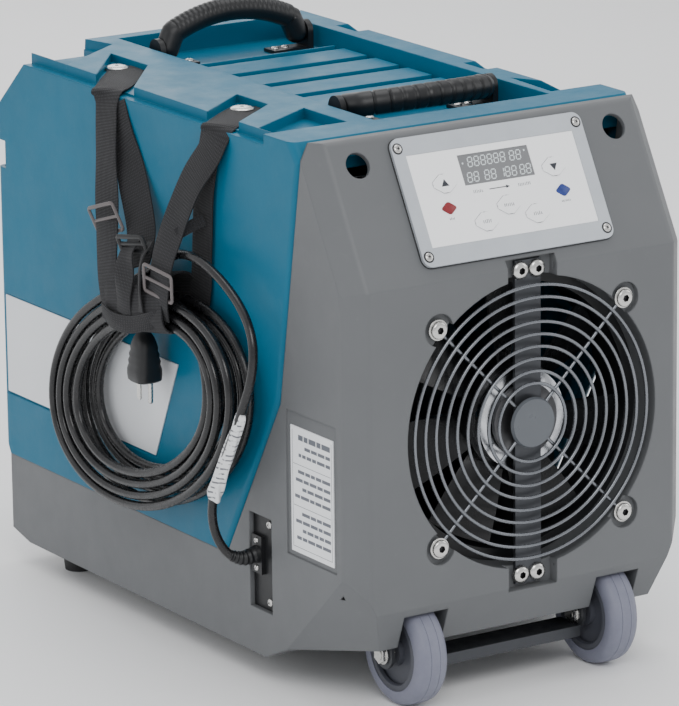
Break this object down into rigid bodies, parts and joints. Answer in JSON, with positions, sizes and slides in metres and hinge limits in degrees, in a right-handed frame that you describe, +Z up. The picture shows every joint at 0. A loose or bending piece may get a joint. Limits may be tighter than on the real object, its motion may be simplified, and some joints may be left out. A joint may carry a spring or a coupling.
{
  "type": "dehumidifier",
  "caption": "Upright portable dehumidifier: blue moulded housing over a grey front shell, wire-guarded fan, tilted key panel, front wheels, folding top handles and a strapped mains cord.",
  "frame": {"origin": "on the floor under the centre of the housing, without the straps and the cord", "axes": "+Z up; the fan and the wheels face -Y; the cord hangs on the -X side"},
  "size_m": [0.4097, 0.65, 0.552],
  "materials": {
    "shell_grey": "satin moulded grain",
    "shell_blue": "satin moulded grain",
    "panel_plate": "satin",
    "black_rubber": "matt",
    "membrane": "satin",
    "lamp_red": "gloss",
    "lamp_blue": "gloss",
    "board": "satin",
    "display": "gloss",
    "screw_steel": "bright",
    "guard_wire": "bright",
    "badge": "satin",
    "dark_metal": "satin",
    "motor_iron": "machined",
    "motor_can": "machined",
    "black_plastic": "satin",
    "fan_plastic": "gloss",
    "tyre": "matt",
    "hub": "satin",
    "handle_grip": "satin ribbed",
    "label_white": "satin",
    "pan_plastic": "satin",
    "fin_aluminium": "bright",
    "compressor_paint": "gloss",
    "sheet_steel": "galvanised",
    "copper": "drawn",
    "filter_media": "pleated",
    "brass": "turned",
    "webbing": "woven",
    "slider_plastic": "satin",
    "cord_rubber": "satin"
  },
  "bodies": {
    "housing": {"bar_screws": "screw_steel", "compressor": "compressor_paint", "condensate_pump": "black_plastic", "condenser_coil": "fin_aluminium", "control_board": "board", "cord_clamp": "black_plastic", "cord_coil": "cord_rubber", "cord_lead": "cord_rubber", "cord_plug": "cord_rubber", "cord_tag": "label_white", "discharge_line": "copper", "display_module": "display", "drain_fitting": "brass", "drain_pan": "pan_plastic", "electrical_box": "sheet_steel", "evaporator_coil": "fin_aluminium", "fan_guard": "guard_wire", "fan_shroud": "black_plastic", "filter_channel": "sheet_steel", "front_shell": "shell_grey", "front_strap": "webbing", "guard_badge": "badge", "guard_screws": "screw_steel", "handle_feet": "black_plastic", "handle_screws": "screw_steel", "inlet_plate": "black_plastic", "inlet_screws": "screw_steel", "motor_bar": "dark_metal", "motor_stator": "motor_iron", "panel_frame": "panel_plate", "panel_gasket": "black_rubber", "panel_overlay": "membrane", "panel_screws": "screw_steel", "plug_prongs": "brass", "rating_plate": "label_white", "rear_feet": "black_rubber", "rear_strap": "webbing", "side_label": "label_white", "status_light_blue": "lamp_blue", "status_light_red": "lamp_red", "strap_screws": "screw_steel", "strap_sliders": "slider_plastic", "upper_housing": "shell_blue", "wheel_axles": "screw_steel", "wheel_brackets": "dark_metal", "wheel_crossbar": "dark_metal"},
    "fan": {"rotor_can": "motor_can", "fan_wheel": "fan_plastic"},
    "wheel_left": {"tyre_left": "tyre", "hub_left": "hub"},
    "wheel_right": {"tyre_right": "tyre", "hub_right": "hub"},
    "front_grip": {"front_handle": "handle_grip"},
    "rear_grip": {"rear_handle": "handle_grip"},
    "up_key": {"key_up": "membrane"},
    "down_key": {"key_down": "membrane"},
    "power_key": {"key_power": "membrane"},
    "purge_key": {"key_purge": "membrane"},
    "timer_key": {"key_timer": "membrane"},
    "filter": {"air_filter": "filter_media"}
  },
  "joints": [
    {"name": "fan_spin", "type": "hinge", "parent": "housing", "child": "fan", "pos_m": [0.01, -0.265, 0.2517], "axis": [0, 1, 0], "continuous": true},
    {"name": "wheel_left_spin", "type": "hinge", "parent": "housing", "child": "wheel_left", "pos_m": [-0.105, -0.278, 0.05], "axis": [1, 0, 0], "continuous": true},
    {"name": "wheel_right_spin", "type": "hinge", "parent": "housing", "child": "wheel_right", "pos_m": [0.105, -0.278, 0.05], "axis": [1, 0, 0], "continuous": true},
    {"name": "front_handle_fold", "type": "hinge", "parent": "housing", "child": "front_grip", "pos_m": [0.0245, -0.103, 0.512], "axis": [1, 0, 0], "range_deg": [-77, 0]},
    {"name": "rear_handle_fold", "type": "hinge", "parent": "housing", "child": "rear_grip", "pos_m": [0.0245, 0.215, 0.512], "axis": [1, 0, 0], "range_deg": [-77, 0]},
    {"name": "filter_slide", "type": "slide", "parent": "housing", "child": "filter", "axis": [0, 1, 0], "range_m": [0, 0.06]},
    {"name": "up_press", "type": "slide", "parent": "housing", "child": "up_key", "axis": [0, 0.8746, -0.4848], "range_m": [0, 0.0008], "stiffness_N_per_m": 600},
    {"name": "down_press", "type": "slide", "parent": "housing", "child": "down_key", "axis": [0, 0.8746, -0.4848], "range_m": [0, 0.0008], "stiffness_N_per_m": 600},
    {"name": "power_press", "type": "slide", "parent": "housing", "child": "power_key", "axis": [0, 0.8746, -0.4848], "range_m": [0, 0.0008], "stiffness_N_per_m": 600},
    {"name": "purge_press", "type": "slide", "parent": "housing", "child": "purge_key", "axis": [0, 0.8746, -0.4848], "range_m": [0, 0.0008], "stiffness_N_per_m": 600},
    {"name": "timer_press", "type": "slide", "parent": "housing", "child": "timer_key", "axis": [0, 0.8746, -0.4848], "range_m": [0, 0.0008], "stiffness_N_per_m": 600}
  ]
}
